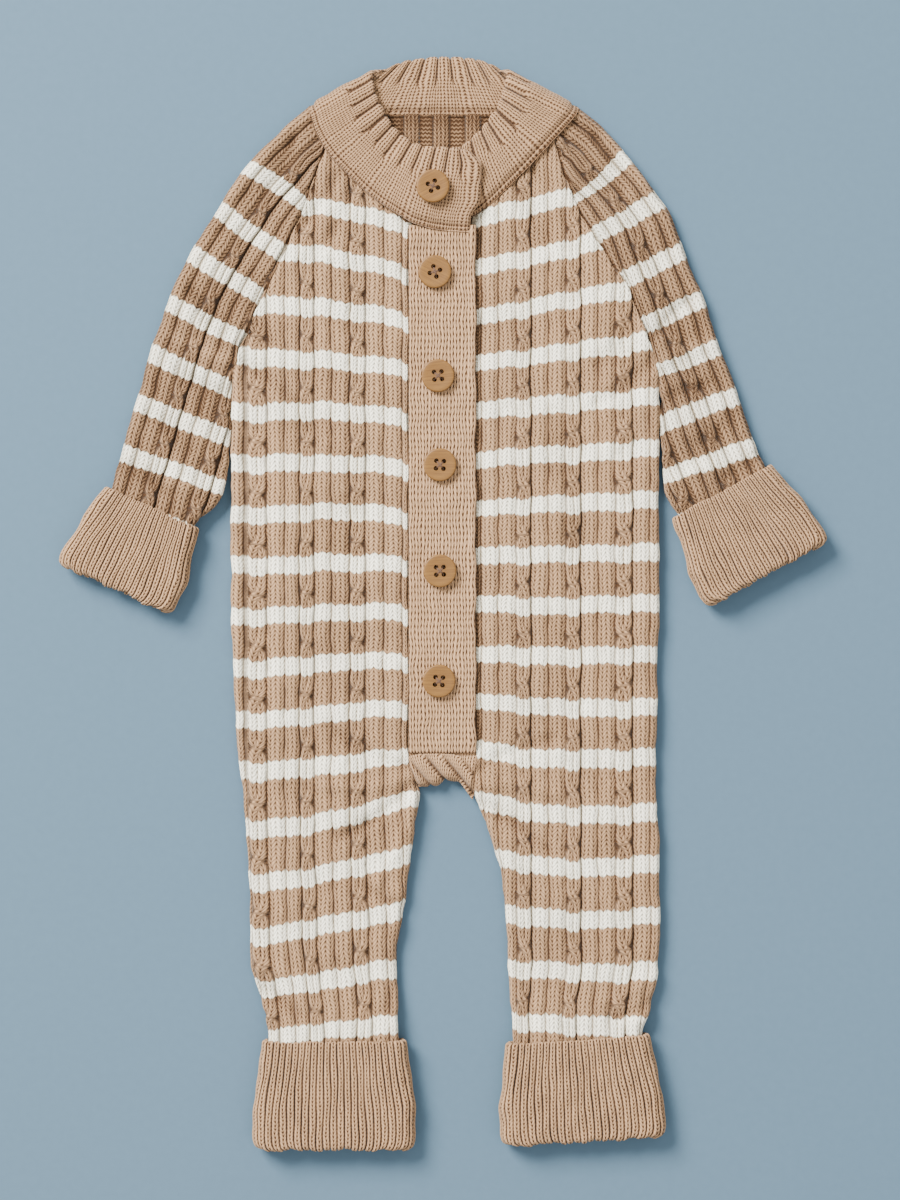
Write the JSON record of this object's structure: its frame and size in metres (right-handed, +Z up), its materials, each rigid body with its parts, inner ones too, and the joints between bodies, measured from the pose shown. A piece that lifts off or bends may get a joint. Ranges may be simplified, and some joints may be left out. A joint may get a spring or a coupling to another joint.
{
  "type": "baby romper",
  "caption": "Knitted baby romper laid flat, with raglan sleeves, long legs, a folded rib collar, a buttoned front band and turned-up cuffs.",
  "frame": {"origin": "under the middle of the laid garment's box, on the surface it lies on", "axes": "+Y towards the neck, +Z up from the surface, +X to the right as seen from the front"},
  "size_m": [0.3993, 0.5693, 0.0174],
  "materials": {
    "knit_body": "matt cotton knit, tan with off-white stripes",
    "knit_trim": "matt cotton rib and plain knit, tan",
    "wood": "smooth oiled wood"
  },
  "bodies": {
    "root": {"back_panel": "knit_body", "front_left": "knit_body", "front_right": "knit_body", "sleeve_left": "knit_body", "sleeve_right": "knit_body", "button_band": "knit_trim", "button_stand": "knit_trim", "collar": "knit_trim", "crotch_gusset": "knit_trim", "sleeve_cuff_left": "knit_trim", "sleeve_cuff_right": "knit_trim", "leg_cuff_left": "knit_trim", "leg_cuff_right": "knit_trim", "button_1": "wood", "button_2": "wood", "button_3": "wood", "button_4": "wood", "button_5": "wood", "button_6": "wood"}
  },
  "joints": []
}
